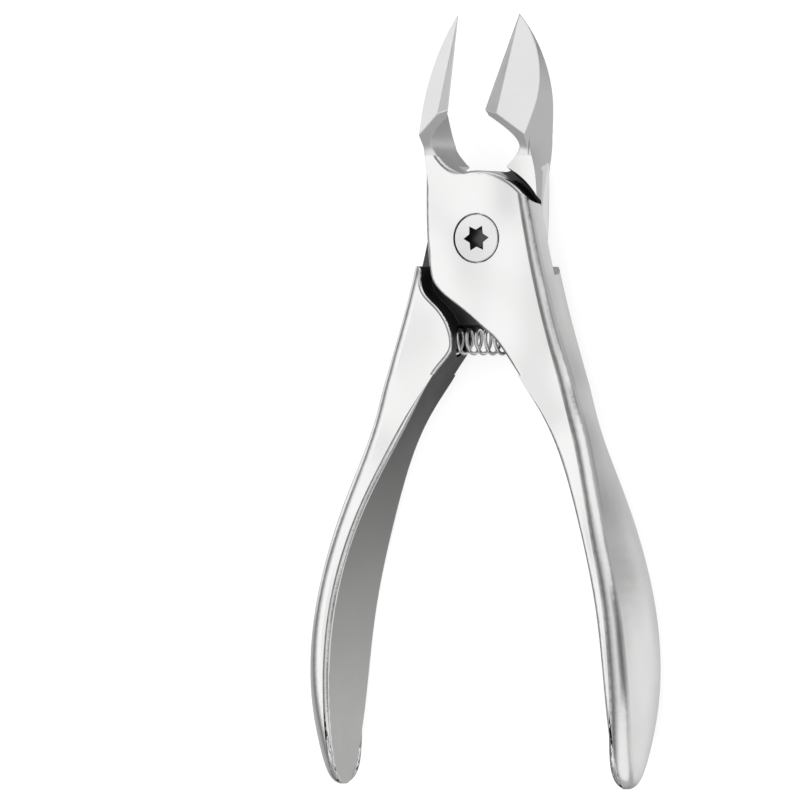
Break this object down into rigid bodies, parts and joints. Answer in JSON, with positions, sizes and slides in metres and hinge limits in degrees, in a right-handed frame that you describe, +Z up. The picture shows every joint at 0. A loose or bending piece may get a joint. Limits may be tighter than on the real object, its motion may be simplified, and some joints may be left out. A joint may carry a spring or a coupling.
{
  "type": "nail nipper",
  "caption": "Plier-type nail nipper: crossed levers on a flush pivot, angled cutting jaws, broad curved handles held open by a coil spring.",
  "frame": {"origin": "centre of the bottom of the bounding box, with the tool lying on its back and its handles open", "axes": "+X across the jaws towards the rear lever's jaw, +Y from the handles to the jaw tips, +Z up from the back to the front of the joint"},
  "size_m": [0.0586, 0.1244, 0.0172],
  "materials": {
    "lever_steel": "satin polished",
    "pivot_steel": "fine satin",
    "spring_wire": "bright drawn wire"
  },
  "bodies": {
    "rear": {"rear_lever": "lever_steel", "pivot_screw": "pivot_steel", "pivot_nut": "pivot_steel", "handle_spring": "spring_wire"},
    "front": {"front_lever": "lever_steel"}
  },
  "joints": [
    {"name": "squeeze", "type": "hinge", "parent": "rear", "child": "front", "pos_m": [0, 0.026, 0.0086], "axis": [0, 0, -1], "range_deg": [0, 16.7], "stiffness_Nm_per_rad": 0.4, "springref_deg": -11.46, "deforming": ["handle_spring"]}
  ]
}
